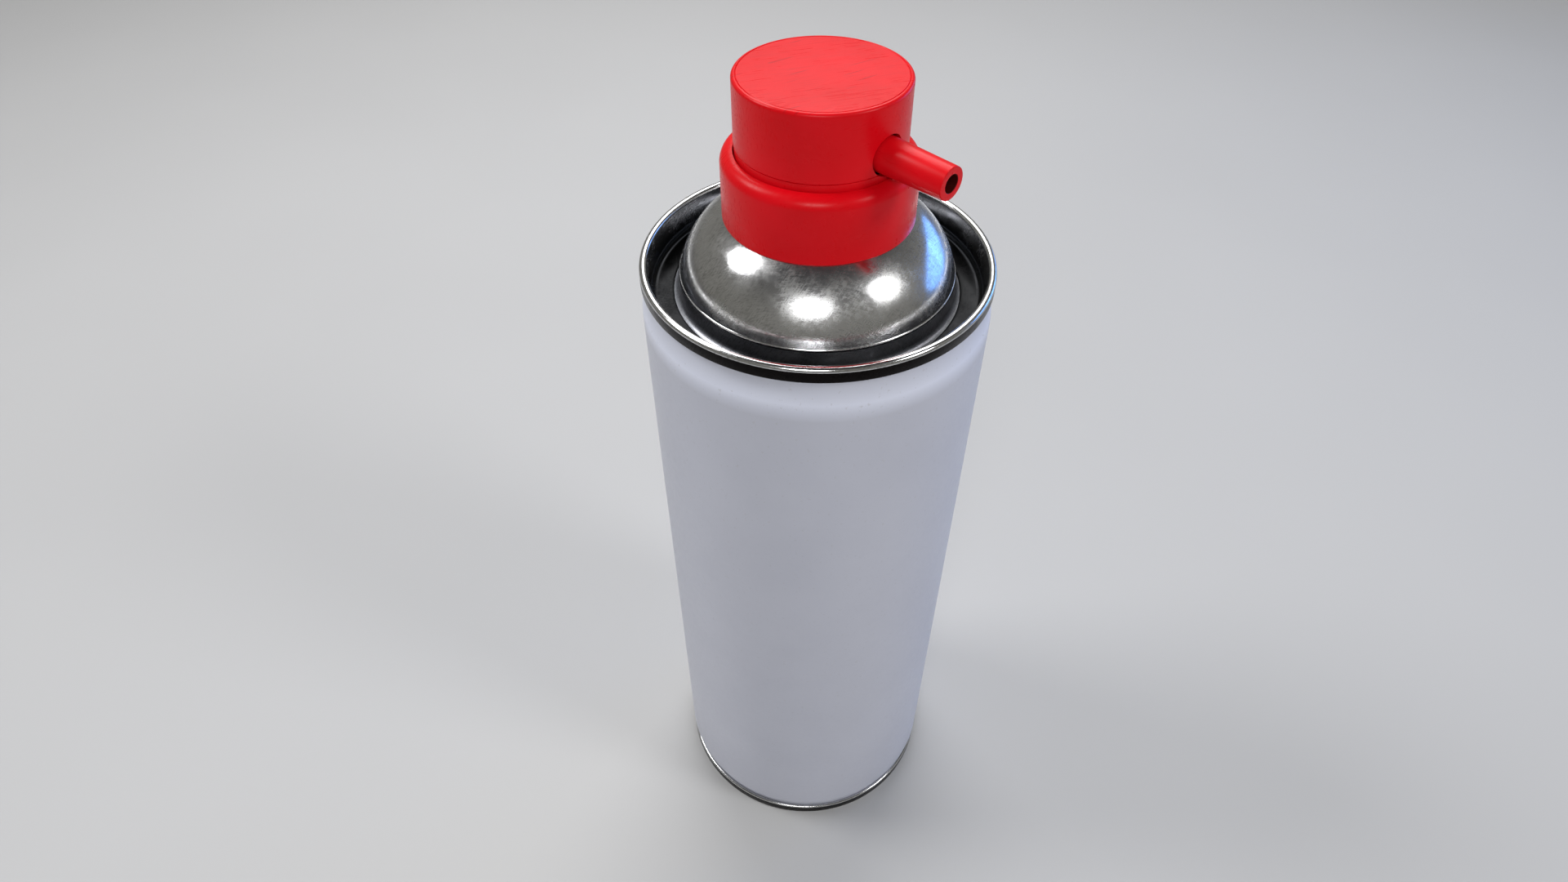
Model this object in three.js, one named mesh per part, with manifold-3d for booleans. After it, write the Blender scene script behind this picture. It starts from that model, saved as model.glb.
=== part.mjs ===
// Aerosol spray can with a two-piece actuator, in millimetres.
// The origin is the centre of the base, +Z points up the can and the spray tube points along +X.
import * as THREE from "three";
import { mergeVertices } from "three/addons/utils/BufferGeometryUtils.js";
import Module from "manifold-3d";

const wasm = await Module();
wasm.setup();

// Driving dimensions of the can.
const canRadius = 32.5;
const plate = 0.25;
const layerGap = 0.06;
const layerPitch = plate + layerGap;
const rimTop = 160.0;
const topSeamDepth = 3.0;
const topSeamRadius = 32.33;
const baseSeamDepth = 3.1;
const baseSeamRadius = 32.4;
const topNeckStart = 150.6;
const baseNeckEnd = 6.6;
const hookOverlap = 1.3;

// Driving dimensions of the top end: a dome with a rolled bead round the valve opening.
const domeCentre = new THREE.Vector2(8.94, 154.46);
const domeRadius = 16.375;
const domeShoulderAngle = 12.6;
const domeNeckAngle = 73.0;
const channelFloor = 153.7;
const channelCorner = 1.6;
const shoulderLean = 0.45;
const beadCentre = new THREE.Vector2(14.15, 172.7);
const beadRadius = 1.3;

// Driving dimensions of the bottom end.
const baseDomeRise = 6.6;
const baseCorner = 1.1;
const basePanelEdge = new THREE.Vector2(29.6, 4.6);

// Driving dimensions of the valve.
const cupRoll = 1.65;
const cupRollLift = 0.5;
const cupFloor = 167.6;
const pedestalRadius = 5.3;
const pedestalTop = 174.4;
const stemRadius = 1.95;
const stemTop = 182.0;
const stemBore = 1.0;
const stemBoreFloor = 175.0;
const stemCollarRadius = 3.1;
const stemPinRadius = 1.5;
const stemFoot = 166.6;
const gasketFoot = 173.3;
const gasketTop = 174.1;
const gasketRadius = 4.5;
const housingRadius = 4.5;
const housingFlange = 5.08;
const housingFlangeFoot = 171.4;
const housingBore = 3.4;
const housingFoot = 163.0;
const tailRadius = 1.9;
const tailBore = 1.1;
const tailFoot = 156.0;
const cupCrimpHeight = 169.9;
const cupCrimpBulge = 0.4;
const cupCorner = 1.2;
const springFoot = 164.65;
const springHead = 171.25;
const springRadius = 2.45;
const springWire = 0.3;
const springTurns = 4.5;
const runningGap = 0.1;

// Driving dimensions of the actuator.
const collarRadius = 16.93;
const collarWall = 0.9;
const collarTop = 180.95;
const collarMouth = 14.72;
const collarFillet = 2.2;
const buttonRadius = 14.54;
const buttonFoot = 182.2;
const buttonTop = 193.7;
const buttonWall = 1.1;
const buttonEdge = 0.6;
const skirtRadius = 14.44;
const skirtFoot = 179.3;
const capThickness = 1.4;
const capRingRadius = 5.7;
const capRingWall = 0.9;
const capRingDepth = 4.0;
const collarLedge = 0.3;
const collarLedgeDepth = 1.0;
const collarFootOuter = 168.98;
const collarFootInner = 169.46;
const hubRadius = 3.6;
const hubFoot = 178.9;
const hubFlange = 5.6;
const hubFlangeDepth = 1.2;
const hubFit = 0.07;
const feedRadius = 0.9;
const sleeveRadius = 4.1;
const sleeveEnd = 9.5;
const spoutRoot = 3.1;
const spoutTaperStart = 13.0;
const spoutBoreStart = 15.0;
const spoutFeedRadius = 0.8;
const insertFoot = 19.6;
const insertTip = 23.4;
const insertOrifice = 0.3;
const spoutHeight = 184.92;
const spoutTip = 26.7;
const spoutTipRadius = 2.75;
const spoutRootRadius = 3.05;
const spoutBore = 1.5;
const spoutHole = 3.45;

// Driving dimensions of the loose mixing balls and the dip tube.
const ballRadius = 3.5;
const ballPath = 28.3;
const ballRest = 9.3;
const dipRadius = 2.5;
const dipBore = 2.0;
const dipTop = 162.6;
const dipBendStart = 154.0;
const dipEndReach = 26.0;
const dipEndHeight = 9.0;

// A point nearer the axis than this counts as lying on it.
const onAxisLimit = 1e-6;

const roundSides = 28;
const smallSides = 12;
const spoutSides = 16;

function point(x, y) {
  return new THREE.Vector2(x, y);
}

// Points round an arc from one angle to another, both in degrees.
function arc(centre, radius, fromAngle, toAngle, steps) {
  const points = [];
  for (let i = 0; i <= steps; i += 1) {
    const angle = THREE.MathUtils.degToRad(fromAngle + ((toAngle - fromAngle) * i) / steps);
    points.push(point(centre.x + radius * Math.cos(angle), centre.y + radius * Math.sin(angle)));
  }
  return points;
}

// A smooth S-shaped change of radius between two heights.
function sway(fromRadius, fromHeight, toRadius, toHeight, steps) {
  const points = [];
  for (let i = 0; i <= steps; i += 1) {
    const share = i / steps;
    const blend = (1 - Math.cos(Math.PI * share)) / 2;
    const radius = fromRadius + (toRadius - fromRadius) * blend;
    points.push(point(radius, fromHeight + (toHeight - fromHeight) * share));
  }
  return points;
}

// The two faces of a sheet that follows a centreline, offset half a thickness each way.
function sheetFace(line, offset) {
  return line.map((here, i) => {
    const before = line[Math.max(i - 1, 0)];
    const after = line[Math.min(i + 1, line.length - 1)];
    const inward = here.clone().sub(before).normalize();
    const outward = after.clone().sub(here).normalize();
    if (i === 0) {
      inward.copy(outward);
    }
    if (i === line.length - 1) {
      outward.copy(inward);
    }
    const bisector = inward.clone().add(outward).normalize();
    const normal = point(-bisector.y, bisector.x);
    const stretch = 1 / Math.max(bisector.dot(inward), 0.5);
    const moved = here.clone().addScaledVector(normal, offset * stretch);
    if (here.x < onAxisLimit) {
      moved.x = 0;
    }
    return moved;
  });
}

function signedArea(outline) {
  let area = 0;
  outline.forEach((here, i) => {
    const next = outline[(i + 1) % outline.length];
    area += here.x * next.y - next.x * here.y;
  });
  return area / 2;
}

// Turns a closed outline about the Z axis. An outline that meets the axis starts and ends on it.
function turned(outline, sides) {
  const points = outline.map((each) => each.clone());
  if (signedArea(points) < 0) {
    points.reverse();
  }
  if (points.some((each) => each.x < onAxisLimit)) {
    const first = points.findIndex((each, i) =>
      each.x < onAxisLimit && points[(i + points.length - 1) % points.length].x < onAxisLimit);
    points.push(...points.splice(0, first));
  } else {
    points.push(points[0].clone());
  }
  const geometry = new THREE.LatheGeometry(points, sides);
  geometry.rotateX(Math.PI / 2);
  return geometry;
}

function turnedSheet(line, sides) {
  const outline = sheetFace(line, plate / 2).concat(sheetFace(line, -plate / 2).reverse());
  return turned(outline, sides);
}

function toSolid(geometry) {
  const plain = geometry.clone();
  plain.deleteAttribute("normal");
  plain.deleteAttribute("uv");
  const merged = mergeVertices(plain, 1e-4);
  const solid = new wasm.Mesh({
    numProp: 3,
    vertProperties: new Float32Array(merged.attributes.position.array),
    triVerts: new Uint32Array(merged.index.array),
  });
  solid.merge();
  return new wasm.Manifold(solid);
}

function fromSolid(solid) {
  const mesh = solid.getMesh();
  const geometry = new THREE.BufferGeometry();
  const positions = [];
  for (let i = 0; i < mesh.numVert; i += 1) {
    for (let k = 0; k < 3; k += 1) {
      positions.push(mesh.vertProperties[i * mesh.numProp + k]);
    }
  }
  geometry.setAttribute("position", new THREE.Float32BufferAttribute(positions, 3));
  geometry.setIndex(Array.from(mesh.triVerts));
  geometry.computeVertexNormals();
  return geometry;
}

// Radii of the five plate layers of a double seam, from the outside to the inside.
function seamLayers(outerRadius) {
  const first = outerRadius - plate / 2;
  return {
    wall: first,
    bodyHook: first - layerPitch,
    endHook: first - 2 * layerPitch,
    body: first - 3 * layerPitch,
    chuck: first - 4 * layerPitch,
  };
}

// The over-bend ends in a short flat, so its centre lies below the rim by the height of that flat.
function overBend(layers, height) {
  const radius = (layers.wall - layers.chuck) / 2;
  const flatRise = (radius + plate / 2) * Math.sin(THREE.MathUtils.degToRad(72));
  return { centre: point((layers.wall + layers.chuck) / 2, height - flatRise), radius };
}

// The end plate's seam: hook, bend under the body hook, outer wall, over-bend. Rim at the given height.
function endSeamLine(layers, height, depth) {
  const hookBend = layerPitch;
  const hookCentre = point(layers.bodyHook, height - depth + hookBend + plate / 2);
  const bend = overBend(layers, height);
  return [point(layers.endHook, hookCentre.y + hookOverlap)]
    .concat(arc(hookCentre, hookBend, 180, 360, 3))
    .concat(arc(bend.centre, bend.radius, 0, 180, 5));
}

// The body's seam: the wall goes up and folds outward into the body hook.
function bodySeamLine(layers, height) {
  const bend = overBend(layers, height);
  const fold = point(layers.endHook, bend.centre.y - layerPitch);
  return arc(fold, layerPitch, 180, 0, 3)
    .concat([point(layers.bodyHook, fold.y - hookOverlap + 0.35)]);
}

// Flips a line that was laid out for the top seam so that it hangs below the given height instead.
function flipped(line, height) {
  return line.map((each) => point(each.x, height - each.y));
}

function bodyLine() {
  const top = seamLayers(topSeamRadius);
  const base = seamLayers(baseSeamRadius);
  const wall = canRadius - plate / 2;
  const lower = flipped(bodySeamLine(base, baseSeamDepth), baseSeamDepth).reverse();
  return lower
    .concat(sway(base.body, baseSeamDepth + 0.4, wall, baseNeckEnd, 4))
    .concat(sway(wall, topNeckStart, top.body, rimTop - topSeamDepth, 5))
    .concat(bodySeamLine(top, rimTop));
}

function topEndLine() {
  const layers = seamLayers(topSeamRadius);
  const shoulder = arc(domeCentre, domeRadius, domeShoulderAngle, domeNeckAngle, 6);
  const outerCorner = point(layers.chuck - channelCorner, channelFloor + channelCorner);
  const innerCorner = point(shoulder[0].x + channelCorner + shoulderLean, channelFloor + channelCorner);
  const neck = beadCentre.x - beadRadius;
  return endSeamLine(layers, rimTop, topSeamDepth)
    .concat(arc(outerCorner, channelCorner, 360, 270, 2))
    .concat(arc(innerCorner, channelCorner, 270, 180, 2))
    .concat(shoulder)
    .concat([point(neck + 0.22, beadCentre.y - 2.1), point(neck, beadCentre.y - 1.4)])
    .concat(arc(beadCentre, beadRadius, 180, -60, 6));
}

function bottomEndLine() {
  const layers = seamLayers(baseSeamRadius);
  const seam = flipped(endSeamLine(layers, baseSeamDepth, baseSeamDepth), baseSeamDepth);
  const rise = baseDomeRise;
  const sphere = (basePanelEdge.x ** 2 + rise ** 2) / (2 * rise);
  const centre = point(0, basePanelEdge.y + rise - sphere);
  const edgeAngle = THREE.MathUtils.radToDeg(Math.acos(basePanelEdge.x / sphere));
  const corner = point(layers.chuck - baseCorner, basePanelEdge.y - baseCorner);
  return seam
    .concat(arc(corner, baseCorner, 0, 80, 3))
    .concat(arc(centre, sphere, edgeAngle, 90, 5));
}

// Sealing compound fills the crescent between the body's fold and the end's over-bend.
function compoundOutline(layers, height) {
  const bend = overBend(layers, height);
  const upper = bend.radius - plate / 2 - 0.06;
  const lower = layerPitch + plate / 2 + 0.05;
  const fold = point(layers.endHook, bend.centre.y - layerPitch);
  return arc(bend.centre, upper, 36, 144, 3).concat(arc(fold, lower, 135, 45, 2));
}

// The cup rolls over the bead, is crimped under it, and rises to a pedestal round the stem.
function cupLine() {
  const roll = point(beadCentre.x, beadCentre.y + cupRollLift);
  const wall = beadCentre.x - cupRoll;
  const crown = 0.9;
  return [point(roll.x + cupRoll, roll.y - beadRadius)]
    .concat(arc(roll, cupRoll, 0, 180, 6))
    .concat([point(wall, cupCrimpHeight + 1.0)])
    .concat([point(wall + cupCrimpBulge, cupCrimpHeight), point(wall, cupCrimpHeight - 0.8)])
    .concat(arc(point(wall - cupCorner, cupFloor + cupCorner), cupCorner, 0, -90, 2))
    .concat([point(pedestalRadius + 0.8, cupFloor), point(pedestalRadius, cupFloor + 0.8)])
    .concat(arc(point(pedestalRadius - crown, pedestalTop - crown), crown, 0, 90, 2))
    .concat([point(stemRadius + 0.35, pedestalTop)]);
}

function cupGasketOutline() {
  const radius = cupRoll - plate / 2 - 0.05;
  const roll = point(beadCentre.x, beadCentre.y + cupRollLift);
  return arc(roll, radius, 30, 150, 4).concat(arc(beadCentre, radius, 150, 30, 4));
}

function stemGasketOutline() {
  const bore = stemRadius + 0.06;
  return [
    point(bore, gasketFoot),
    point(gasketRadius, gasketFoot),
    point(gasketRadius, gasketTop),
    point(bore, gasketTop),
  ];
}

// The housing hangs inside the pedestal by its flange and ends in a tail for the dip tube.
function housingOutline() {
  const springSeat = springFoot - 0.05;
  return [
    point(tailBore, tailFoot),
    point(tailRadius, tailFoot),
    point(tailRadius, housingFoot),
    point(housingBore, housingFoot),
    point(housingRadius, housingFoot + 1.1),
    point(housingRadius, housingFlangeFoot),
    point(housingFlange, housingFlangeFoot),
    point(housingFlange, gasketFoot - runningGap),
    point(housingBore, gasketFoot - runningGap),
    point(housingBore, springSeat),
    point(tailBore, springSeat),
  ];
}

// The stem is bored from the top, stopped by a collar under the gasket, and guides the spring.
function stemOutline() {
  const collarFoot = springHead + 0.05;
  const collarHead = gasketFoot - 2 * runningGap;
  const chamfer = 0.3;
  return [
    point(0, stemFoot),
    point(stemPinRadius - 0.2, stemFoot),
    point(stemPinRadius, stemFoot + 0.4),
    point(stemPinRadius, collarFoot),
    point(stemCollarRadius, collarFoot),
    point(stemCollarRadius, collarHead),
    point(stemRadius, collarHead),
    point(stemRadius, stemTop - chamfer),
    point(stemRadius - chamfer, stemTop),
    point(stemBore, stemTop),
    point(stemBore, stemBoreFloor),
    point(0, stemBoreFloor),
  ];
}

function ballOutline() {
  return arc(point(0, 0), ballRadius, -90, 90, 6);
}

// The collar rides on the dome, grips the cup's roll and has an inner ledge that sits on the roll.
function collarOutline() {
  const inner = collarRadius - collarWall;
  const filletFoot = collarTop - collarFillet;
  const outerFillet = arc(point(0, 0), 1, 0, 90, 5).map((each) =>
    point(collarMouth + (collarRadius - collarMouth) * each.x, filletFoot + collarFillet * each.y));
  const innerFillet = arc(point(0, 0), 1, 90, 0, 3).map((each) =>
    point(collarMouth + (inner - collarMouth) * each.x, filletFoot + (collarFillet - 0.8) * each.y));
  const ledge = beadCentre.y + cupRollLift + cupRoll + plate / 2 + runningGap;
  const ledgeRadius = collarMouth - collarLedge;
  return [point(collarRadius, collarFootOuter)]
    .concat(outerFillet)
    .concat(innerFillet)
    .concat([point(inner, ledge + collarLedgeDepth), point(ledgeRadius, ledge + collarLedgeDepth)])
    .concat([point(ledgeRadius, ledge), point(inner, ledge), point(inner, collarFootInner)]);
}

// The button is a cup turned upside down, with a ring under its top that holds the hub's flange.
function buttonOutline() {
  const inner = buttonRadius - buttonWall;
  const ceiling = buttonTop - capThickness;
  const ring = capRingRadius + capRingWall;
  const edge = arc(point(buttonRadius - buttonEdge, buttonTop - buttonEdge), buttonEdge, 0, 90, 3);
  return [
    point(inner, skirtFoot),
    point(skirtRadius, skirtFoot),
    point(skirtRadius, buttonFoot - 0.08),
    point(buttonRadius, buttonFoot),
  ].concat(edge).concat([
    point(0, buttonTop),
    point(0, ceiling),
    point(capRingRadius, ceiling),
    point(capRingRadius, buttonTop - capRingDepth),
    point(ring, buttonTop - capRingDepth),
    point(ring, ceiling),
    point(inner, ceiling),
  ]);
}

// A closed cylinder or cone along +X, at the height of the spout.
function along(fromX, toX, fromRadius, toRadius, sides) {
  const outline = [point(0, fromX), point(fromRadius, fromX), point(toRadius, toX), point(0, toX)];
  return toSolid(laidAlong(outline, sides));
}

// Turns an outline about the spout's axis. Its second coordinate becomes the distance along +X.
function laidAlong(outline, sides) {
  const geometry = turned(outline, sides);
  geometry.rotateY(Math.PI / 2);
  geometry.translate(0, 0, spoutHeight);
  return geometry;
}

function upright(radius, foot, head) {
  const outline = [point(0, foot), point(radius, foot), point(radius, head), point(0, head)];
  return toSolid(turned(outline, smallSides));
}

function buttonCap() {
  const shell = toSolid(turned(buttonOutline(), roundSides));
  const start = buttonRadius - buttonWall - 1.6;
  const hole = along(start, buttonRadius + 2, spoutHole, spoutHole, spoutSides);
  return fromSolid(shell.subtract(hole));
}

// The hub holds the stem in a socket, carries the spout in a side sleeve and clips under the cap.
function actuatorHub() {
  const flange = buttonTop - capThickness - runningGap;
  const flangeFoot = flange - hubFlangeDepth;
  const outline = [
    point(0, hubFoot),
    point(hubRadius, hubFoot),
    point(hubRadius, flangeFoot),
    point(hubFlange, flangeFoot),
    point(hubFlange, flange),
    point(0, flange),
  ];
  const post = toSolid(turned(outline, smallSides));
  const sleeve = along(1.5, sleeveEnd, sleeveRadius, sleeveRadius, smallSides);
  const sleeveBore = spoutRootRadius + hubFit;
  const spoutSocket = along(spoutRoot - runningGap, sleeveEnd + 1, sleeveBore, sleeveBore, spoutSides);
  const feed = along(0.2, spoutRoot + 1, spoutFeedRadius, spoutFeedRadius, smallSides);
  const stemSocket = upright(stemRadius + hubFit, hubFoot - 5, stemTop + runningGap);
  const channel = upright(feedRadius, stemTop - 2, spoutHeight + feedRadius);
  const body = post.add(sleeve);
  return fromSolid(body.subtract(spoutSocket).subtract(feed).subtract(stemSocket).subtract(channel));
}

function spout() {
  return laidAlong([
    point(spoutFeedRadius, spoutRoot),
    point(spoutRootRadius, spoutRoot),
    point(spoutRootRadius, spoutTaperStart),
    point(spoutTipRadius, spoutTip),
    point(spoutBore, spoutTip),
    point(spoutBore, spoutBoreStart),
    point(spoutFeedRadius, spoutBoreStart - 0.6),
  ], spoutSides);
}

function sprayInsert() {
  const outer = spoutBore - 0.06;
  const feed = outer - 0.5;
  return laidAlong([
    point(insertOrifice, insertTip - 1.8),
    point(insertOrifice, insertTip - 0.8),
    point(spoutFeedRadius, insertTip),
    point(outer, insertTip),
    point(outer, insertFoot),
    point(feed, insertFoot),
    point(feed, insertTip - 1.8),
  ], spoutSides);
}

class Helix extends THREE.Curve {
  getPoint(share, target = new THREE.Vector3()) {
    const angle = share * springTurns * 2 * Math.PI;
    const foot = springFoot + springWire;
    const head = springHead - springWire;
    return target.set(
      springRadius * Math.cos(angle), springRadius * Math.sin(angle), foot + (head - foot) * share);
  }
}

function wireOutline(radius, sides) {
  const shape = new THREE.Shape();
  for (let i = 0; i < sides; i += 1) {
    const angle = (i / sides) * 2 * Math.PI;
    const corner = point(radius * Math.cos(angle), radius * Math.sin(angle));
    if (i === 0) {
      shape.moveTo(corner.x, corner.y);
    } else {
      shape.lineTo(corner.x, corner.y);
    }
  }
  shape.closePath();
  return shape;
}

function valveSpring() {
  return new THREE.ExtrudeGeometry(wireOutline(springWire, 5), {
    steps: Math.round(springTurns * 10),
    extrudePath: new Helix(),
    bevelEnabled: false,
  });
}

// The dip tube leaves the valve straight down and sweeps out to the low corner under the spout.
function dipPath() {
  return new THREE.CubicBezierCurve3(
    new THREE.Vector3(0, 0, dipBendStart),
    new THREE.Vector3(0, 0, dipBendStart - 64.0),
    new THREE.Vector3(dipEndReach - 18.0, 0, dipEndHeight + 41.0),
    new THREE.Vector3(dipEndReach, 0, dipEndHeight),
  );
}

function dipTube() {
  const shape = wireOutline(dipRadius, 10);
  const hole = new THREE.Path();
  wireOutline(dipBore, 10).getPoints(1).forEach((each, i) => {
    if (i === 0) {
      hole.moveTo(each.x, each.y);
    } else {
      hole.lineTo(each.x, each.y);
    }
  });
  shape.holes.push(hole);
  const path = new THREE.CurvePath();
  const head = new THREE.Vector3(0, 0, dipTop);
  path.add(new THREE.LineCurve3(head, new THREE.Vector3(0, 0, dipBendStart)));
  path.add(dipPath());
  return new THREE.ExtrudeGeometry(shape, { steps: 16, extrudePath: path, bevelEnabled: false });
}

function mixingBall(azimuth) {
  const geometry = turned(ballOutline(), smallSides);
  const angle = THREE.MathUtils.degToRad(azimuth);
  geometry.translate(ballPath * Math.cos(angle), ballPath * Math.sin(angle), ballRest);
  return geometry;
}

function finish(colour, roughness, metalness) {
  return new THREE.MeshStandardMaterial({ color: colour, roughness, metalness });
}

const group = new THREE.Group();
group.name = "aerosol_spray_can";

function place(name, geometry, material) {
  const mesh = new THREE.Mesh(geometry, material);
  mesh.name = name;
  group.add(mesh);
}

const topLayers = seamLayers(topSeamRadius);
const baseLayers = seamLayers(baseSeamRadius);
const topCompound = compoundOutline(topLayers, rimTop);
const baseCompound = flipped(compoundOutline(baseLayers, baseSeamDepth), baseSeamDepth);

place("can_body", turnedSheet(bodyLine(), roundSides), finish(0xb9bcc8, 0.45, 0.0));
place("top_end", turnedSheet(topEndLine(), roundSides), finish(0xc8c8cc, 0.15, 1.0));
place("bottom_end", turnedSheet(bottomEndLine(), roundSides), finish(0xc0c0c4, 0.25, 1.0));
place("top_seam_compound", turned(topCompound, roundSides), finish(0x303030, 0.8, 0.0));
place("bottom_seam_compound", turned(baseCompound, roundSides), finish(0x303030, 0.8, 0.0));
place("mounting_cup", turnedSheet(cupLine(), roundSides), finish(0xbfbfc3, 0.25, 1.0));
place("cup_gasket", turned(cupGasketOutline(), roundSides), finish(0x1c1c1e, 0.8, 0.0));
place("stem_gasket", turned(stemGasketOutline(), smallSides), finish(0x1c1c1e, 0.8, 0.0));
place("valve_housing", turned(housingOutline(), smallSides), finish(0xe8e6dc, 0.5, 0.0));
place("valve_spring", valveSpring(), finish(0xb5b5b8, 0.3, 1.0));
place("valve_stem", turned(stemOutline(), smallSides), finish(0xf0efe8, 0.45, 0.0));
place("dip_tube", dipTube(), finish(0xe9ecee, 0.4, 0.0));
place("mixing_ball_1", mixingBall(150), finish(0x9aa0a4, 0.2, 1.0));
place("mixing_ball_2", mixingBall(215), finish(0x9aa0a4, 0.2, 1.0));
place("actuator_collar", turned(collarOutline(), roundSides), finish(0xc81414, 0.35, 0.0));
place("button_cap", buttonCap(), finish(0xcc1212, 0.35, 0.0));
place("actuator_hub", actuatorHub(), finish(0xc41010, 0.4, 0.0));
place("spout_tube", spout(), finish(0xcc1414, 0.35, 0.0));
place("spray_insert", sprayInsert(), finish(0x1a1a1a, 0.5, 0.0));

export default group;
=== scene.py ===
"""Aerosol spray can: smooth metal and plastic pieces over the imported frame, in metres."""
import math

import bmesh
import bpy
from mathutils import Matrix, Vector


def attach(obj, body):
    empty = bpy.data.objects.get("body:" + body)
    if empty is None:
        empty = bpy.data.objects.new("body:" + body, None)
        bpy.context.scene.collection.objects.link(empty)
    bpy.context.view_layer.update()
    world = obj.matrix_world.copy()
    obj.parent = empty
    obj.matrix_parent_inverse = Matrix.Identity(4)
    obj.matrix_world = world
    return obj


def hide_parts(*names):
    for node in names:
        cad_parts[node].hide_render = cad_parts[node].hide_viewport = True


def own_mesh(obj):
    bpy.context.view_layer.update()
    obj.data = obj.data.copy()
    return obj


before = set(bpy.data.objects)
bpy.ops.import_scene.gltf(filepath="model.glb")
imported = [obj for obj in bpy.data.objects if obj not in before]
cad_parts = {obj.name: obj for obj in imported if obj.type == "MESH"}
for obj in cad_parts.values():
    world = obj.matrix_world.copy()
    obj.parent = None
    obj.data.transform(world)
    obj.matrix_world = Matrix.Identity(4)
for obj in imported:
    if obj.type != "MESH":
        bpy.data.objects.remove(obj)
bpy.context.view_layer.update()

# Driving sizes in millimetres. They repeat the part's own dimensions, apart from the finest details.
MM = 0.001
ON_AXIS = 1e-6
SIDES = 192
SPOUT_SIDES = 96
CAN_RADIUS = 32.5
PLATE = 0.25
LAYER_PITCH = 0.31
RIM_TOP = 160.0
TOP_SEAM_DEPTH = 3.0
TOP_SEAM_RADIUS = 32.33
BASE_SEAM_DEPTH = 3.1
BASE_SEAM_RADIUS = 32.4
TOP_NECK_START = 150.6
BASE_NECK_END = 6.6
# Heights where the painted highlight on the neck starts, peaks and ends.
NECK_HIGHLIGHT_BAND = (148.6, 152.2, 156.2)
HOOK_OVERLAP = 1.3
BODY_HOOK_CUT = 0.35
BASE_NECK_START = 0.4
OVER_BEND_ANGLE = 72
DOME_CENTRE = (8.94, 154.46)
DOME_RADIUS = 16.375
DOME_SHOULDER_ANGLE = 14.6
DOME_BEAD_CENTRE = (24.77, 157.83)
DOME_BEAD_RADIUS = 0.38
DOME_NECK_ANGLE = 73.0
CHANNEL_FLOOR = 153.7
CHANNEL_CORNER = 1.6
CHANNEL_LEAN = 0.45
NECK_CURL = ((0.22, 2.1), (0.0, 1.4))
BEAD_CENTRE = (14.15, 172.7)
BEAD_RADIUS = 1.3
BASE_DOME_RISE = 6.6
BASE_PANEL_EDGE = (29.6, 4.6)
BASE_CORNER = 1.1
COLLAR_RADIUS = 16.93
COLLAR_WALL = 0.9
COLLAR_TOP = 180.95
COLLAR_MOUTH = 14.72
COLLAR_FILLET = 2.2
COLLAR_FOOT = 168.98
COLLAR_CHAMFER = 0.12
COLLAR_WAIST = 174.0
COLLAR_INNER_FOOT = 169.46
CUP_LEDGE = 175.075
CUP_LEDGE_DEPTH = 1.0
CUP_LEDGE_REACH = 0.3
BUTTON_RADIUS = 14.54
BUTTON_FOOT = 182.2
BUTTON_TOP = 193.7
BUTTON_WALL = 1.1
BUTTON_EDGE = 0.6
BUTTON_GROOVE = 0.3
BUTTON_ROOF = 1.4
SOCKET_INNER = 5.7
SOCKET_OUTER = 6.6
SOCKET_DEPTH = 4.0
TOP_GROOVE = (13.90, 13.78, 13.66)
TOP_GROOVE_DEPTH = 0.12
SKIRT_RADIUS = 14.44
SKIRT_FOOT = 179.3
SPOUT_HEIGHT = 184.92
SPOUT_TIP = 26.7
SPOUT_TIP_RADIUS = 2.75
SPOUT_ROOT_RADIUS = 3.05
SPOUT_START = 3.1
SPOUT_TAPER_START = 13.0
SPOUT_BORE = 1.5
SPOUT_BORE_END = 15.0
SPOUT_THROAT = 0.8
SPOUT_THROAT_END = 14.4
SPOUT_OUTER_EDGE = 0.15
SPOUT_INNER_EDGE = 0.12
SPOUT_HOLE = 3.45
SPOUT_HOLE_SPAN = (11.6, 17.0)
SPRING_FOOT = 164.65
SPRING_HEAD = 171.25
SPRING_RADIUS = 2.45
SPRING_WIRE = 0.3
SPRING_TURNS = 4.5

# Where a finish, a painted shade or a painted dark reflection begins and ends, in millimetres. A zone is
# its lowest and highest level and its least and most radius.
TOP_RIM_ZONE = (158.6, 160.2, 30.5, CAN_RADIUS)
# The band zones are painted near-black: a painted dark reflection on the seams' outer faces.
TOP_DARK_REFLECTION_ZONE = (156.9, 159.2, 31.9, CAN_RADIUS)
DOME_BEAD_ZONE = (157.6, 158.5, 24.6, 25.4)
# Painted shade: the dome's wall down in the channel gets a darker steel.
SHADED_CHANNEL_WALL_ZONE = (153.9, 157.6, 24.6, 27.4)
BASE_RIM_ZONE = (1.9, 3.2, 31.5, CAN_RADIUS)
BASE_DARK_REFLECTION_ZONE = (0.3, 2.3, 32.0, CAN_RADIUS)
CHANNEL_SHADE = (155.0, 158.8)
CHANNEL_FLOOR_SHADE_BLEND = 1.2

# The stage, in metres and degrees.
FLOOR_HALF = 2.5
LIGHT_AIM = 0.165
LIGHT_DISTANCE = 0.9
CAMERA_PLACE = (0.09921, -0.10864, 0.25852)
CAMERA_TURN = (45.108, 0.0, 44.764)
CAMERA_LENS = 21.97
CAMERA_SENSOR = 36.0


def arc(centre, radius, start, end, steps):
    """Points round an arc from one angle to another, in degrees."""
    points = []
    for i in range(steps + 1):
        angle = math.radians(start + (end - start) * i / steps)
        points.append((centre[0] + radius * math.cos(angle), centre[1] + radius * math.sin(angle)))
    return points


def sway(start, end, steps):
    """A smooth S-shaped change of radius between two heights."""
    points = []
    for i in range(steps + 1):
        share = i / steps
        blend = (1 - math.cos(math.pi * share)) / 2
        points.append((start[0] + (end[0] - start[0]) * blend, start[1] + (end[1] - start[1]) * share))
    return points


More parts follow.
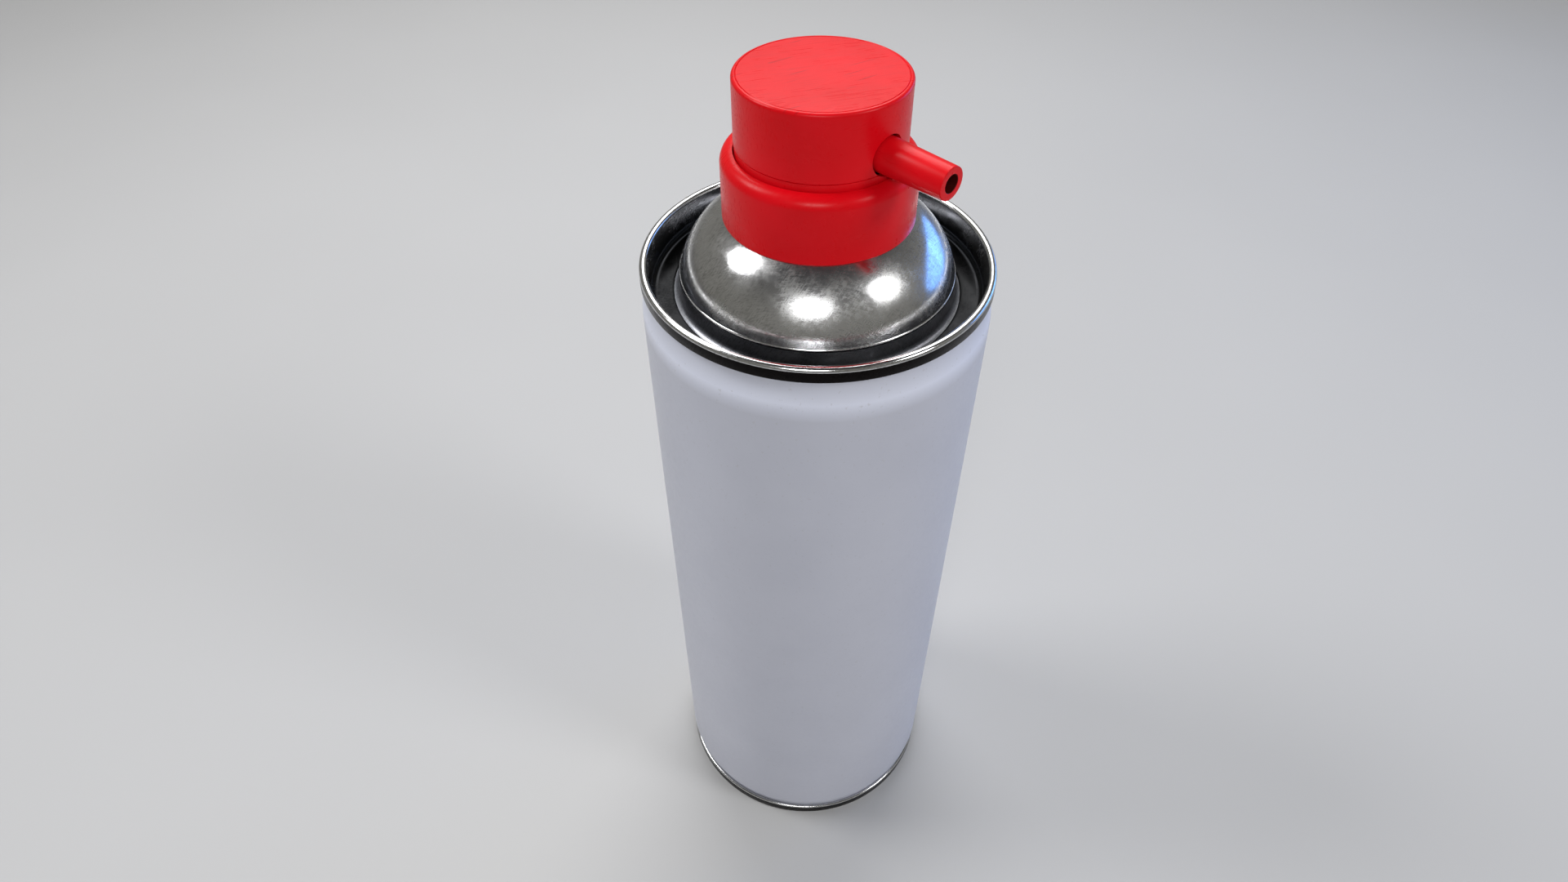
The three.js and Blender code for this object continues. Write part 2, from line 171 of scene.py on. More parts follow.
def sheet(line):
    """The closed outline of a sheet of plate that follows a centreline."""
    sides = ([], [])
    for i, here in enumerate(line):
        here = Vector(here)
        before = Vector(line[max(i - 1, 0)])
        after = Vector(line[min(i + 1, len(line) - 1)])
        into = (here - before).normalized() if i else (after - here).normalized()
        out = (after - here).normalized() if i < len(line) - 1 else into
        along = (into + out).normalized()
        normal = Vector((-along.y, along.x))
        stretch = 1 / max(along.dot(into), 0.5)
        for side, sign in zip(sides, (1, -1)):
            moved = here + normal * (sign * PLATE / 2 * stretch)
            if here.x < ON_AXIS:
                moved.x = 0.0
            side.append((moved.x, moved.y))
    return sides[0] + sides[1][::-1]


def new_object(name, mesh):
    """Adds a mesh to the scene as an object of the same name."""
    piece = bpy.data.objects.new(name, mesh)
    bpy.context.scene.collection.objects.link(piece)
    return piece


def turned(name, outline, sides=SIDES, height=0.0, sharp=35.0, lying=False):
    """Turns a closed outline of (radius, height) points about the Z axis, or about +X where it lies."""
    mesh = bpy.data.meshes.new(name)
    bm = bmesh.new()
    rings = []
    for radius, level in outline:
        if radius < ON_AXIS:
            rings.append([bm.verts.new((0.0, 0.0, level * MM))])
            continue
        ring = []
        for i in range(sides):
            angle = 2 * math.pi * i / sides
            x = radius * math.cos(angle) * MM
            y = radius * math.sin(angle) * MM
            ring.append(bm.verts.new((x, y, level * MM)))
        rings.append(ring)
    for k in range(len(rings)):
        lower = rings[k]
        upper = rings[(k + 1) % len(rings)]
        if len(lower) == 1 and len(upper) == 1:
            continue
        for i in range(sides):
            j = (i + 1) % sides
            if len(lower) == 1:
                bm.faces.new((lower[0], upper[j], upper[i]))
            elif len(upper) == 1:
                bm.faces.new((lower[i], lower[j], upper[0]))
            else:
                bm.faces.new((lower[i], lower[j], upper[j], upper[i]))
    if lying:
        for vert in bm.verts:
            x, y, z = vert.co
            vert.co = (z, y, height * MM - x)
    bmesh.ops.recalc_face_normals(bm, faces=bm.faces)
    bm.to_mesh(mesh)
    bm.free()
    mesh.polygons.foreach_set("use_smooth", [True] * len(mesh.polygons))
    mesh.set_sharp_from_angle(angle=math.radians(sharp))
    return new_object(name, mesh)


def seam_layers(outer):
    """The radius of each layer of a double seam, from the outside in."""
    first = outer - PLATE / 2
    names = ("wall", "body_hook", "end_hook", "body", "chuck")
    return {name: first - i * LAYER_PITCH for i, name in enumerate(names)}


def over_bend(layers, height):
    """The centre and radius of the bend at a seam's top, which ends level with a height."""
    radius = (layers["wall"] - layers["chuck"]) / 2
    rise = (radius + PLATE / 2) * math.sin(math.radians(OVER_BEND_ANGLE))
    return ((layers["wall"] + layers["chuck"]) / 2, height - rise), radius


def over_bend_line(centre, radius):
    """The rolled top of a seam: an arc with a short flat across its crown."""
    rising = arc(centre, radius, 0, OVER_BEND_ANGLE, 8)
    return rising + arc(centre, radius, 180 - OVER_BEND_ANGLE, 180, 8)


def end_seam_line(layers, height, depth):
    """The end plate's part of a seam: its inner hook, its outer wall and its rolled top."""
    hook = (layers["body_hook"], height - depth + LAYER_PITCH + PLATE / 2)
    centre, radius = over_bend(layers, height)
    line = [(layers["end_hook"], hook[1] + HOOK_OVERLAP)]
    return line + arc(hook, LAYER_PITCH, 180, 360, 8) + over_bend_line(centre, radius)


def body_seam_line(layers, height):
    """The wall's part of a seam: a fold and a hook that hangs inside the end plate's."""
    centre, _ = over_bend(layers, height)
    fold = (layers["end_hook"], centre[1] - LAYER_PITCH)
    hook_end = fold[1] - HOOK_OVERLAP + BODY_HOOK_CUT
    return arc(fold, LAYER_PITCH, 180, 0, 8) + [(layers["body_hook"], hook_end)]


def flipped(line, height):
    """A line turned upside down within a height."""
    return [(x, height - y) for x, y in line]


def body_line():
    """The can's wall, from the hook in the base seam to the hook in the top seam."""
    top = seam_layers(TOP_SEAM_RADIUS)
    base = seam_layers(BASE_SEAM_RADIUS)
    wall = CAN_RADIUS - PLATE / 2
    lower = flipped(body_seam_line(base, BASE_SEAM_DEPTH), BASE_SEAM_DEPTH)[::-1]
    neck_start = (base["body"], BASE_SEAM_DEPTH + BASE_NECK_START)
    line = lower + sway(neck_start, (wall, BASE_NECK_END), 14)
    steps = 12
    for i in range(1, steps):
        line.append((wall, BASE_NECK_END + (TOP_NECK_START - BASE_NECK_END) * i / steps))
    line += sway((wall, TOP_NECK_START), (top["body"], RIM_TOP - TOP_SEAM_DEPTH), 16)
    return line + body_seam_line(top, RIM_TOP)


def top_end_line():
    """The top plate: seam, channel, fine bead, dome and the rolled bead that holds the cup."""
    layers = seam_layers(TOP_SEAM_RADIUS)
    shoulder = arc(DOME_CENTRE, DOME_RADIUS, DOME_SHOULDER_ANGLE, DOME_NECK_ANGLE, 40)
    level = CHANNEL_FLOOR + CHANNEL_CORNER
    outer = (layers["chuck"] - CHANNEL_CORNER, level)
    inner = (shoulder[0][0] + CHANNEL_CORNER + CHANNEL_LEAN, level)
    neck = BEAD_CENTRE[0] - BEAD_RADIUS
    line = end_seam_line(layers, RIM_TOP, TOP_SEAM_DEPTH)
    line += arc(outer, CHANNEL_CORNER, 360, 270, 10) + arc(inner, CHANNEL_CORNER, 270, 180, 10)
    line += arc(DOME_BEAD_CENTRE, DOME_BEAD_RADIUS, -40, 66, 10) + shoulder
    for outward, drop in NECK_CURL:
        line.append((neck + outward, BEAD_CENTRE[1] - drop))
    return line + arc(BEAD_CENTRE, BEAD_RADIUS, 180, -60, 20)


def bottom_end_line():
    """The base plate: seam, corner and a dome that rises to the middle."""
    layers = seam_layers(BASE_SEAM_RADIUS)
    line = flipped(end_seam_line(layers, BASE_SEAM_DEPTH, BASE_SEAM_DEPTH), BASE_SEAM_DEPTH)
    sphere = (BASE_PANEL_EDGE[0] ** 2 + BASE_DOME_RISE ** 2) / (2 * BASE_DOME_RISE)
    centre = (0.0, BASE_PANEL_EDGE[1] + BASE_DOME_RISE - sphere)
    edge = math.degrees(math.acos(BASE_PANEL_EDGE[0] / sphere))
    corner = (layers["chuck"] - BASE_CORNER, BASE_PANEL_EDGE[1] - BASE_CORNER)
    line += arc(corner, BASE_CORNER, 0, 80, 8) + arc(centre, sphere, edge, 90, 24)
    line[-1] = (0.0, line[-1][1])
    return line


def collar_outline():
    """The collar: a wall, a rounded shoulder, an open mouth and a ledge that grips the cup."""
    inner = COLLAR_RADIUS - COLLAR_WALL
    foot = COLLAR_TOP - COLLAR_FILLET
    outline = [(COLLAR_RADIUS - COLLAR_CHAMFER, COLLAR_FOOT)]
    outline += [(COLLAR_RADIUS, COLLAR_FOOT + COLLAR_CHAMFER), (COLLAR_RADIUS, COLLAR_WAIST)]
    for x, y in arc((0, 0), 1, 0, 90, 20):
        outline.append((COLLAR_MOUTH + (COLLAR_RADIUS - COLLAR_MOUTH) * x, foot + COLLAR_FILLET * y))
    outline.append((COLLAR_MOUTH - 0.06, COLLAR_TOP - 0.06))
    for x, y in arc((0, 0), 1, 90, 0, 10):
        outline.append((COLLAR_MOUTH + (inner - COLLAR_MOUTH) * x, foot + (COLLAR_FILLET - 0.8) * y))
    ledge = COLLAR_MOUTH - CUP_LEDGE_REACH
    ledge_top = CUP_LEDGE + CUP_LEDGE_DEPTH
    outline += [(inner, ledge_top), (ledge, ledge_top), (ledge, CUP_LEDGE)]
    return outline + [(inner, CUP_LEDGE), (inner, COLLAR_INNER_FOOT)]


def button_outline():
    """The button: a narrower skirt, a groove, the wall, the flat top and the cap's inside."""
    inner = BUTTON_RADIUS - BUTTON_WALL
    edge = arc((BUTTON_RADIUS - BUTTON_EDGE, BUTTON_TOP - BUTTON_EDGE), BUTTON_EDGE, 0, 90, 10)
    outline = [(inner, SKIRT_FOOT), (SKIRT_RADIUS, SKIRT_FOOT), (SKIRT_RADIUS, BUTTON_FOOT - 0.14)]
    groove = BUTTON_RADIUS - BUTTON_GROOVE
    outline += [(groove, BUTTON_FOOT - 0.06), (groove, BUTTON_FOOT + 0.02)]
    outline += [(BUTTON_RADIUS - 0.06, BUTTON_FOOT + 0.04), (BUTTON_RADIUS, BUTTON_FOOT + 0.12)]
    for i in range(1, 24):
        outline.append((BUTTON_RADIUS, BUTTON_FOOT + (BUTTON_TOP - BUTTON_EDGE - BUTTON_FOOT) * i / 24))
    outline += edge
    for radius, depth in zip(TOP_GROOVE, (0.0, TOP_GROOVE_DEPTH, 0.0)):
        outline.append((radius, BUTTON_TOP - depth))
    for radius in (13.0, 11.0, 8.0, 5.0, 2.0, 0.0):
        outline.append((radius, BUTTON_TOP))
    ceiling = BUTTON_TOP - BUTTON_ROOF
    socket_foot = BUTTON_TOP - SOCKET_DEPTH
    outline += [(0.0, ceiling), (SOCKET_INNER, ceiling), (SOCKET_INNER, socket_foot)]
    return outline + [(SOCKET_OUTER, socket_foot), (SOCKET_OUTER, ceiling), (inner, ceiling)]


def spout_outline():
    """The spout: a slightly tapered tube with rounded edges and a blind bore."""
    outer = (SPOUT_TIP_RADIUS - SPOUT_OUTER_EDGE, SPOUT_TIP - SPOUT_OUTER_EDGE)
    inner = (SPOUT_BORE + SPOUT_INNER_EDGE, SPOUT_TIP - SPOUT_INNER_EDGE)
    outline = [(SPOUT_THROAT, SPOUT_START), (SPOUT_ROOT_RADIUS, SPOUT_START)]
    outline.append((SPOUT_ROOT_RADIUS, SPOUT_TAPER_START))
    outline += arc(outer, SPOUT_OUTER_EDGE, 0, 90, 6) + arc(inner, SPOUT_INNER_EDGE, 90, 180, 6)
    return outline + [(SPOUT_BORE, SPOUT_BORE_END), (SPOUT_THROAT, SPOUT_THROAT_END)]


# ---- materials ----------------------------------------------------------------------------------


class Nodes:
    """A small helper that adds shader nodes and links them."""

    def __init__(self, name):
        self.material = bpy.data.materials.new(name)
        self.material.use_nodes = True
        self.tree = self.material.node_tree
        self.shader = self.tree.nodes["Principled BSDF"]
        self.coordinates = self.add("ShaderNodeTexCoord").outputs["Object"]

    def add(self, kind, **values):
        node = self.tree.nodes.new(kind)
        for key, value in values.items():
            setattr(node, key, value)
        return node

    def link(self, source, target):
        self.tree.links.new(source, target)

    def stretched(self, scale, turn=(0, 0, 0)):
        """Coordinates turned first and then scaled along their own axes, for streaks."""
        mapping = self.add("ShaderNodeMapping", vector_type="TEXTURE")
        mapping.inputs["Scale"].default_value = [1 / each for each in scale]
        mapping.inputs["Rotation"].default_value = turn
        self.link(self.coordinates, mapping.inputs["Vector"])
        return mapping.outputs["Vector"]

    def noise(self, scale, detail=3.0, vector=None, roughness=0.5):
        node = self.add("ShaderNodeTexNoise")
        node.inputs["Scale"].default_value = scale
        node.inputs["Detail"].default_value = detail
        node.inputs["Roughness"].default_value = roughness
        self.link(vector or self.coordinates, node.inputs["Vector"])
        return node.outputs["Fac"]

    def span(self, source, low, high, start=0.3, end=0.7):
        node = self.add("ShaderNodeMapRange")
        node.inputs["From Min"].default_value = start
        node.inputs["From Max"].default_value = end
        node.inputs["To Min"].default_value = low
        node.inputs["To Max"].default_value = high
        self.link(source, node.inputs["Value"])
        return node.outputs["Result"]

    def mix(self, factor, first, second):
        """A blend of two colours, each a tuple or another node's output."""
        node = self.add("ShaderNodeMix", data_type="RGBA")
        ends = [each for each in node.inputs if each.type == "RGBA"]
        for socket, colour in zip(ends, (first, second)):
            if isinstance(colour, tuple):
                socket.default_value = (*colour, 1)
            else:
                self.link(colour, socket)
        share = [each for each in node.inputs if each.type == "VALUE"][0]
        self.link(factor, share)
        return [each for each in node.outputs if each.type == "RGBA"][0]

    def spout_radius(self):
        """The distance from the spout's axis, in metres."""
        split = self.add("ShaderNodeSeparateXYZ")
        self.link(self.coordinates, split.inputs["Vector"])
        rise = self.math("SUBTRACT", split.outputs["Z"], SPOUT_HEIGHT * MM)
        across = self.math("POWER", split.outputs["Y"], 2.0)
        total = self.math("ADD", self.math("MULTIPLY", rise, rise), across)
        return self.math("SQRT", total, 0.0)

    def height(self):
        """The height above the base, in metres."""
        split = self.add("ShaderNodeSeparateXYZ")
        self.link(self.coordinates, split.inputs["Vector"])
        return split.outputs["Z"]

    def ramp(self, source, *stops):
        node = self.add("ShaderNodeValToRGB")
        marks = node.color_ramp.elements
        while len(marks) < len(stops):
            marks.new(0.5)
        for mark, (place, level) in zip(marks, stops):
            mark.position = place
            mark.color = (level, level, level, 1)
        self.link(source, node.inputs["Fac"])
        return node.outputs["Color"]

    def math(self, operation, first, second):
        node = self.add("ShaderNodeMath", operation=operation)
        for i, value in enumerate((first, second)):
            if isinstance(value, (int, float)):
                node.inputs[i].default_value = value
            else:
                self.link(value, node.inputs[i])
        return node.outputs[0]

    def bump(self, height, strength, distance, after=None):
        node = self.add("ShaderNodeBump")
        node.inputs["Strength"].default_value = strength
        node.inputs["Distance"].default_value = distance
        self.link(height, node.inputs["Height"])
        if after is not None:
            self.link(after, node.inputs["Normal"])
        return node.outputs["Normal"]

    def set(self, **values):
        for key, value in values.items():
            socket = self.shader.inputs[key.replace("_", " ")]
            if isinstance(value, bpy.types.NodeSocket):
                self.link(value, socket)
            else:
                socket.default_value = value
        return self.material


def white_coating():
    """Satin cool white enamel with a fine orange peel, and a painted highlight: a lighter band round the
    neck.
    """
    n = Nodes("white_coating")
    tone = n.mix(n.span(n.noise(55.0, 4.0), 0.0, 1.0), (0.50, 0.515, 0.60), (0.53, 0.545, 0.63))
    # Painted highlight: the colour is lighter in a band round the neck, where the neck catches the light.
    low, middle, high = (level * MM for level in NECK_HIGHLIGHT_BAND)
    below = n.span(n.height(), 0.0, 1.0, low, middle)
    above = n.span(n.height(), 1.0, 0.0, middle, high)
    tone = n.mix(n.math("MULTIPLY", below, above), tone, (0.72, 0.75, 0.88))
    grain = n.noise(2600.0, 2.0)
    peel = n.noise(900.0, 2.0)
    speck = n.ramp(n.noise(1500.0, 1.0), (0.0, 1.0), (0.27, 1.0), (0.30, 0.0), (1.0, 0.0))
    colour = n.mix(n.math("MULTIPLY", speck, 0.3), tone, (0.42, 0.42, 0.45))
    normal = n.bump(peel, 0.10, 0.00006, n.bump(grain, 0.12, 0.00002))
    n.set(Coat_Weight=0.25, Coat_Roughness=0.28, Specular_IOR_Level=0.5)
    return n.set(Base_Color=colour, Roughness=n.span(peel, 0.40, 0.52), Normal=normal)


def polished_steel(name, low=0.10, high=0.27, dark=(0.52, 0.52, 0.51), light=(0.74, 0.74, 0.76),
                   paint_channel_shade=False, relief=1.0):
    """Bright tinplate: clear reflections broken by mottling and fine hairline scratches; in the channel,
    painted shade darkens the walls and paints the floor almost black.
    """
    n = Nodes(name)
    cloud = n.noise(190.0, 8.0, roughness=0.68)
    hairs = n.noise(60.0, 3.0, n.stretched((14.0, 110.0, 20.0), (0.3, 0.2, 0.7)))
    cross = n.noise(60.0, 3.0, n.stretched((110.0, 14.0, 14.0), (0.1, 0.5, 0.4)))
    grit = n.noise(1500.0, 4.0)
    lines = n.math("ADD", hairs, cross)
    worn = n.span(n.noise(70.0, 3.0), 0.0, 1.0, 0.40, 0.62)
    marks = n.math("ADD", n.span(lines, 0.0, 0.20, 0.85, 1.35), n.span(grit, 0.0, 0.05))
    scuffs = n.math("MULTIPLY", worn, marks)
    rough = n.math("ADD", n.span(cloud, low, high, 0.35, 0.68), scuffs)
    colour = n.mix(n.span(cloud, 0.0, 1.0), light, dark)
    colour = n.mix(n.span(lines, 0.0, 0.6, 0.95, 1.25), colour, tuple(0.5 * each for each in dark))
    # Painted shade: in the channel the walls darken with depth and the floor is painted almost black.
    if paint_channel_shade:
        low_shade, high_shade = (level * MM for level in CHANNEL_SHADE)
        blend = CHANNEL_FLOOR_SHADE_BLEND * MM
        wall_shade = n.span(n.height(), 1.0, 0.0, low_shade, high_shade)
        floor = n.span(n.height(), 1.0, 0.0, low_shade - blend, low_shade + blend)
        colour = n.mix(wall_shade, colour, (0.05, 0.055, 0.065))
        colour = n.mix(floor, colour, (0.0015, 0.0016, 0.002))
    normal = n.bump(cloud, 0.09 * relief, 0.00008, n.bump(lines, 0.12 * relief, 0.00002))
    return n.set(Base_Color=colour, Metallic=1.0, Roughness=rough, Normal=normal)


def red_plastic(name, turn, bore=False):
    """Moulded red plastic, slightly glossy, with fine rubbed scratches on the button's top; with a bore,
    painted shade darkens the inside of the spout's bore.
    """
    n = Nodes(name)
    cloud = n.noise(70.0, 3.0)
    hairs = n.noise(60.0, 4.0, n.stretched((2.5, 40.0, 14.0), (0, 0, turn)))
    lone = n.noise(30.0, 1.0, n.stretched((4.0, 60.0, 1.0), (0, 0, turn + 0.25)))
    top = n.span(n.height(), 0.0, 1.0, (BUTTON_TOP - 0.5) * MM, (BUTTON_TOP - 0.1) * MM)
    mark = n.math("MULTIPLY", top, n.span(lone, 0.0, 0.5, 0.69, 0.74))
    rub = n.math("MULTIPLY", top, n.span(hairs, 0.0, 0.14, 0.54, 0.68))
    tone = n.mix(n.span(cloud, 0.0, 1.0), (0.66, 0.002, 0.006), (0.74, 0.003, 0.010))
    colour = n.mix(n.math("MAXIMUM", mark, rub), tone, (0.34, 0.003, 0.006))
    # Painted shade: the inside of the spout's bore is painted dark.
    if bore:
        inside = n.span(n.spout_radius(), 1.0, 0.0, (SPOUT_BORE + 0.02) * MM, (SPOUT_BORE + 0.1) * MM)
        colour = n.mix(inside, colour, (0.05, 0.004, 0.003))
    rough = n.math("ADD", n.span(cloud, 0.23, 0.28), n.span(hairs, 0.0, 0.12))
    normal = n.bump(hairs, 0.14, 0.00004, n.bump(n.noise(800.0, 2.0), 0.06, 0.00003))
    n.set(Specular_IOR_Level=0.16)
    return n.set(Base_Color=colour, Roughness=rough, Normal=normal)


def plain(name, first, second, low, high, metal=0.0):
    """A simple moulded or drawn finish with mottled colour, roughness and a fine bump."""
    n = Nodes(name)
    cloud = n.noise(400.0, 4.0)
    colour = n.mix(n.span(cloud, 0.0, 1.0), first, second)
    normal = n.bump(n.noise(2400.0, 2.0), 0.15, 0.00003)
    return n.set(Base_Color=colour, Metallic=metal, Roughness=n.span(cloud, low, high), Normal=normal)


def floor_material():
    """Pale matt paper with faint clouds."""
    n = Nodes("floor_paper")
    cloud = n.noise(3.0, 3.0)
    colour = n.mix(n.span(cloud, 0.0, 1.0), (0.47, 0.47, 0.475), (0.50, 0.50, 0.505))
    return n.set(Base_Color=colour, Roughness=0.75, Normal=n.bump(n.noise(900.0, 2.0), 0.05, 0.00003))


# ---- pieces ------------------------------------------------------------------------------------


def dress(piece, material):
    """Gives a piece one material and no other."""
    piece.data.materials.clear()
    piece.data.materials.append(material)


def add_piece(piece, node, body, material):
    """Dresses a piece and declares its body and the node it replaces."""
    dress(piece, material)
    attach(piece, body)
    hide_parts(node)


def cut_spout_hole(piece):
    """Cuts the round clearance hole for the spout through the button's wall."""
    near, far = SPOUT_HOLE_SPAN
    outline = [(0, near), (SPOUT_HOLE, near), (SPOUT_HOLE, far), (0, far)]
    cutter = turned("hole_cutter", outline, SPOUT_SIDES, SPOUT_HEIGHT, lying=True)
    cut = piece.modifiers.new("hole", "BOOLEAN")
    cut.operation = "DIFFERENCE"
    cut.solver = "EXACT"
    cut.object = cutter
    depsgraph = bpy.context.evaluated_depsgraph_get()
    mesh = bpy.data.meshes.new_from_object(piece.evaluated_get(depsgraph))
    piece.modifiers.clear()
    piece.data = mesh
    mesh.polygons.foreach_set("use_smooth", [True] * len(mesh.polygons))
    mesh.set_sharp_from_angle(angle=math.radians(30))
    bpy.data.objects.remove(cutter)


def paint_faces(piece, material, zone):
    """Gives the faces between two heights and two radii another material."""
    low, high, least_radius, most_radius = zone
    piece.data.materials.append(material)
    index = len(piece.data.materials) - 1
    for face in piece.data.polygons:
        radius = math.hypot(face.center.x, face.center.y) / MM
        if low < face.center.z / MM < high and least_radius < radius < most_radius:
            face.material_index = index


def coil(name):
    """The valve spring: a round wire wound in a helix, with both ends capped."""
    mesh = bpy.data.meshes.new(name)
    bm = bmesh.new()
    around = 12
    steps = int(SPRING_TURNS * 40)
    low = SPRING_FOOT + SPRING_WIRE
    rise = SPRING_HEAD - SPRING_WIRE - low
    rings = []
    for i in range(steps + 1):
        turn = 2 * math.pi * SPRING_TURNS * i / steps
        level = low + rise * i / steps
        ring = []
        for k in range(around):
            angle = 2 * math.pi * k / around
            reach = SPRING_RADIUS + SPRING_WIRE * math.cos(angle)
            height = level + SPRING_WIRE * math.sin(angle)
            x = reach * math.cos(turn) * MM
            y = reach * math.sin(turn) * MM
            ring.append(bm.verts.new((x, y, height * MM)))
        rings.append(ring)
    for lower, upper in zip(rings, rings[1:]):
        for k in range(around):
            following = (k + 1) % around
            bm.faces.new((lower[k], lower[following], upper[following], upper[k]))
    bm.faces.new(rings[0])
    bm.faces.new(rings[-1][::-1])
    bmesh.ops.recalc_face_normals(bm, faces=bm.faces)
    bm.to_mesh(mesh)
    bm.free()
    mesh.polygons.foreach_set("use_smooth", [True] * len(mesh.polygons))
    return new_object(name, mesh)


def build_can():
    """The coated wall and the two steel ends, each end with its own rim finish and a near-black seam band,
    a painted dark reflection; the top's channel gets painted shade.
    """
    # The dome plate's steel carries painted shade in the channel.
    steel = polished_steel("polished_steel", paint_channel_shade=True)
    base_steel = polished_steel("base_steel", 0.16, 0.32)
    # Painted dark reflection: the seams' outer bands are near-black steel.
    dark_reflection_steel = polished_steel("dark_reflection_steel", 0.18, 0.34, (0.006, 0.005, 0.005), (0.011, 0.009, 0.009))
    rim_steel = polished_steel("rim_steel", 0.09, 0.15, relief=0.15)
    # Painted shade: a darker copy of the steel for the dome's wall in the channel.
    wall_shade_tones = ((0.34, 0.35, 0.38), (0.46, 0.47, 0.51))
    shaded_wall_steel = polished_steel("shaded_wall_steel", 0.30, 0.42, *wall_shade_tones, relief=0.4)
    shell = turned("can_shell", sheet(body_line()))
    add_piece(shell, "can_body", "can", white_coating())
    dome = turned("dome_plate", sheet(top_end_line()))
    add_piece(dome, "top_end", "can", steel)
    paint_faces(dome, rim_steel, TOP_RIM_ZONE)
    paint_faces(dome, rim_steel, DOME_BEAD_ZONE)
    paint_faces(dome, shaded_wall_steel, SHADED_CHANNEL_WALL_ZONE)
    paint_faces(dome, dark_reflection_steel, TOP_DARK_REFLECTION_ZONE)
    base = turned("base_plate", sheet(bottom_end_line()))
    add_piece(base, "bottom_end", "can", base_steel)
    paint_faces(base, rim_steel, BASE_RIM_ZONE)
    paint_faces(base, dark_reflection_steel, BASE_DARK_REFLECTION_ZONE)


def build_actuator():
    """The red collar, the button with its spout hole, and the spout."""
    collar = turned("collar_ring", collar_outline())
    add_piece(collar, "actuator_collar", "can", red_plastic("collar_red", 1.3))
    button = turned("button_shell", button_outline(), sharp=30)
    cut_spout_hole(button)
    add_piece(button, "button_cap", "button", red_plastic("red_plastic", 1.08))
    spout = turned("spout_pipe", spout_outline(), SPOUT_SIDES, SPOUT_HEIGHT, lying=True)
    add_piece(spout, "spout_tube", "button", red_plastic("spout_red_bore_shade", 0.0, bore=True))


def build_spring():
    """The valve spring, a wound coil fixed to the can."""
    spring = coil("spring_coil")
    wire = plain("spring_steel", (0.5, 0.5, 0.52), (0.62, 0.62, 0.64), 0.2, 0.4, 1.0)
    add_piece(spring, "valve_spring", "can", wire)
    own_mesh(spring)


def dress_hidden_nodes():
    """Gives every CAD node that stays its own procedural finish."""
    rubber = plain("black_rubber", (0.02, 0.02, 0.02), (0.04, 0.04, 0.04), 0.6, 0.85)
    natural = plain("natural_plastic", (0.80, 0.79, 0.74), (0.86, 0.85, 0.81), 0.4, 0.55)
    finishes = {
        "top_seam_compound": rubber,
        "bottom_seam_compound": rubber,
        "cup_gasket": rubber,
        "stem_gasket": rubber,
        "mounting_cup": polished_steel("cup_steel", 0.15, 0.3),
        "valve_housing": natural,
        "valve_stem": natural,
        "dip_tube": plain("dip_tube_plastic", (0.78, 0.80, 0.80), (0.86, 0.87, 0.88), 0.3, 0.45),
        "mixing_ball_1": plain("ball_steel", (0.45, 0.46, 0.47), (0.58, 0.58, 0.6), 0.15, 0.3, 1.0),
        "mixing_ball_2": plain("ball_steel_two", (0.45, 0.46, 0.47), (0.58, 0.58, 0.6), 0.15, 0.3, 1.0),
        "actuator_hub": red_plastic("hub_red", 0.9),
        "spray_insert": plain("dark_plastic", (0.02, 0.02, 0.02), (0.035, 0.03, 0.03), 0.4, 0.6),
    }
    for name, material in finishes.items():
        dress(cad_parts[name], material)


# ---- stage -------------------------------------------------------------------------------------


def build_floor():
    """A plain square floor under the can."""
    mesh = bpy.data.meshes.new("floor")
    bm = bmesh.new()
    signs = ((-1, -1), (1, -1), (1, 1), (-1, 1))
    bm.faces.new([bm.verts.new((x * FLOOR_HALF, y * FLOOR_HALF, 0.0)) for x, y in signs])
    bm.to_mesh(mesh)
    bm.free()
    floor = new_object("floor", mesh)
    dress(floor, floor_material())


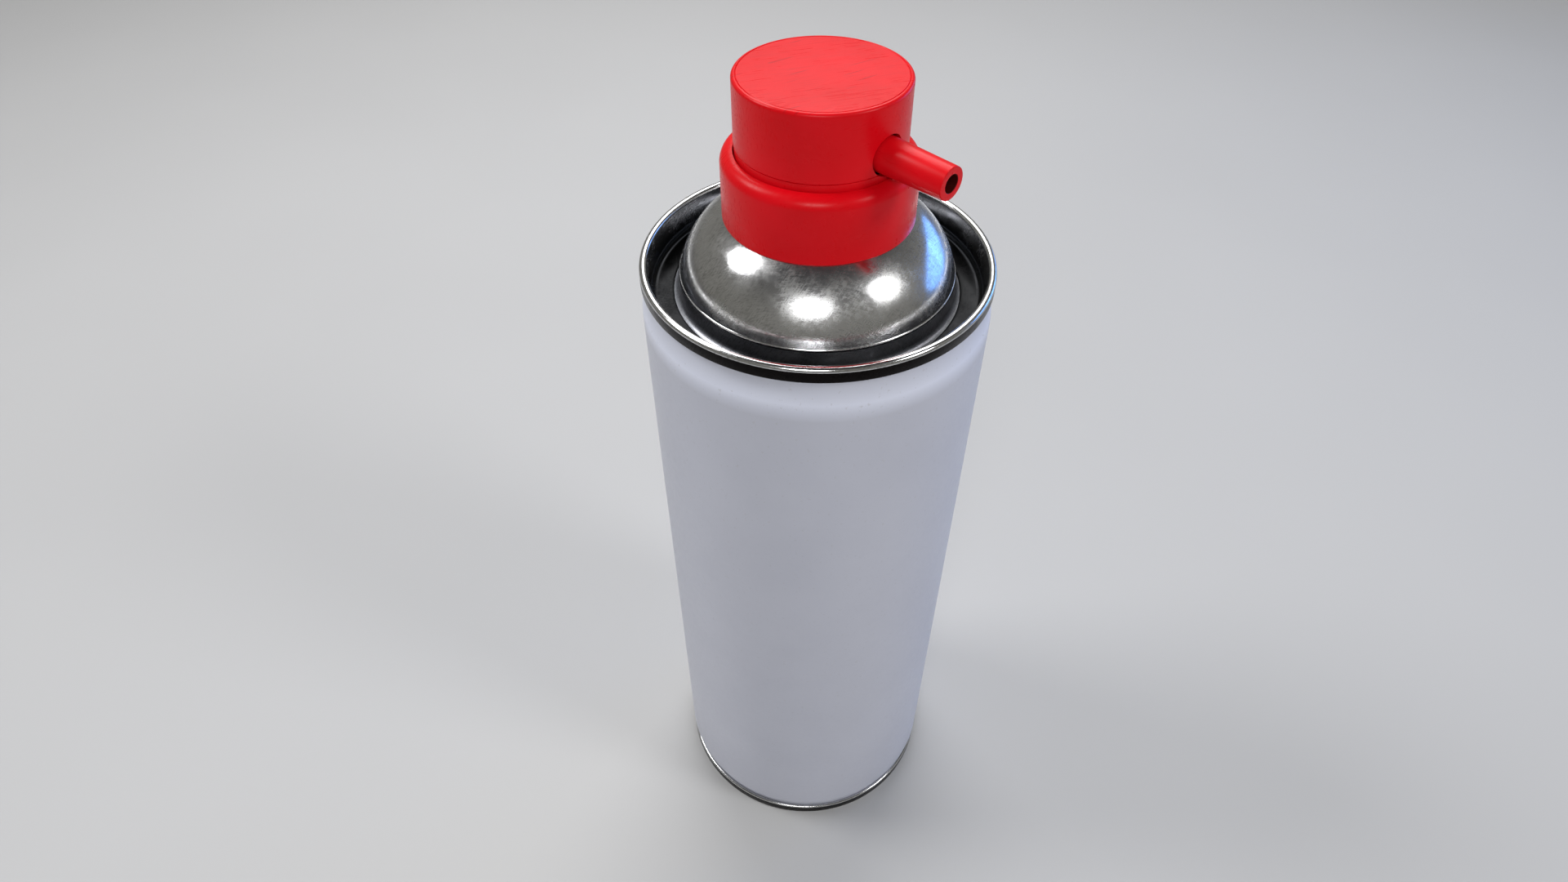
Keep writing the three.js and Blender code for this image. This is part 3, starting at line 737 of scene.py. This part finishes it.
def add_softbox(name, azimuth, elevation, size, watts, colour=(1, 1, 1), spread=180):
    """An oval area light on a sphere round the can's shoulder, facing it."""
    aim = Vector((0, 0, LIGHT_AIM))
    turn = math.radians(azimuth)
    rise = math.radians(elevation)
    way = Vector((math.cos(turn) * math.cos(rise), math.sin(turn) * math.cos(rise), math.sin(rise)))
    data = bpy.data.lights.new(name, "AREA")
    data.shape = "ELLIPSE"
    data.size = size[0]
    data.size_y = size[1]
    data.energy = watts
    data.color = colour
    data.spread = math.radians(spread)
    lamp = bpy.data.objects.new(name, data)
    lamp.location = aim + way * LIGHT_DISTANCE
    lamp.rotation_euler = (-way).to_track_quat("-Z", "Y").to_euler()
    bpy.context.scene.collection.objects.link(lamp)


def build_lights():
    """Three softboxes for the dome's highlights, a blue one for its side and one for the button's sheen."""
    add_softbox("key_left", -146, 45, (0.34, 0.36), 3.6)
    add_softbox("front", -52, 36, (0.36, 0.24), 2.8)
    add_softbox("right", 20, 36, (0.26, 0.30), 2.4)
    add_softbox("back_blue", 76, 3, (0.85, 0.34), 0.42, (0.14, 0.38, 1.0), 70)
    add_softbox("back_sheen", 135, 50, (0.8, 0.6), 6.5)


def build_world():
    """A room that is warm grey at the horizon and darker overhead."""
    world = bpy.data.worlds.new("studio")
    world.use_nodes = True
    nodes = world.node_tree.nodes
    links = world.node_tree.links
    gradient = nodes.new("ShaderNodeValToRGB")
    gradient.color_ramp.elements[0].color = (0.23, 0.225, 0.205, 1)
    gradient.color_ramp.elements[1].color = (0.04, 0.04, 0.042, 1)
    gradient.color_ramp.elements[0].position = 0.35
    split = nodes.new("ShaderNodeSeparateXYZ")
    links.new(nodes.new("ShaderNodeTexCoord").outputs["Generated"], split.inputs["Vector"])
    links.new(split.outputs["Z"], gradient.inputs["Fac"])
    links.new(gradient.outputs["Color"], nodes["Background"].inputs["Color"])
    nodes["Background"].inputs["Strength"].default_value = 1.0
    bpy.context.scene.world = world


def build_camera():
    """The camera, looking down at the can from the front."""
    data = bpy.data.cameras.new("camera")
    data.sensor_width = CAMERA_SENSOR
    data.lens = CAMERA_LENS
    data.clip_start = 0.01
    camera = bpy.data.objects.new("camera", data)
    camera.location = CAMERA_PLACE
    camera.rotation_euler = [math.radians(each) for each in CAMERA_TURN]
    bpy.context.scene.collection.objects.link(camera)
    bpy.context.scene.camera = camera
    bpy.context.scene.view_settings.view_transform = "Standard"


build_camera()
build_can()
build_actuator()
build_spring()
dress_hidden_nodes()
build_floor()
build_lights()
build_world()
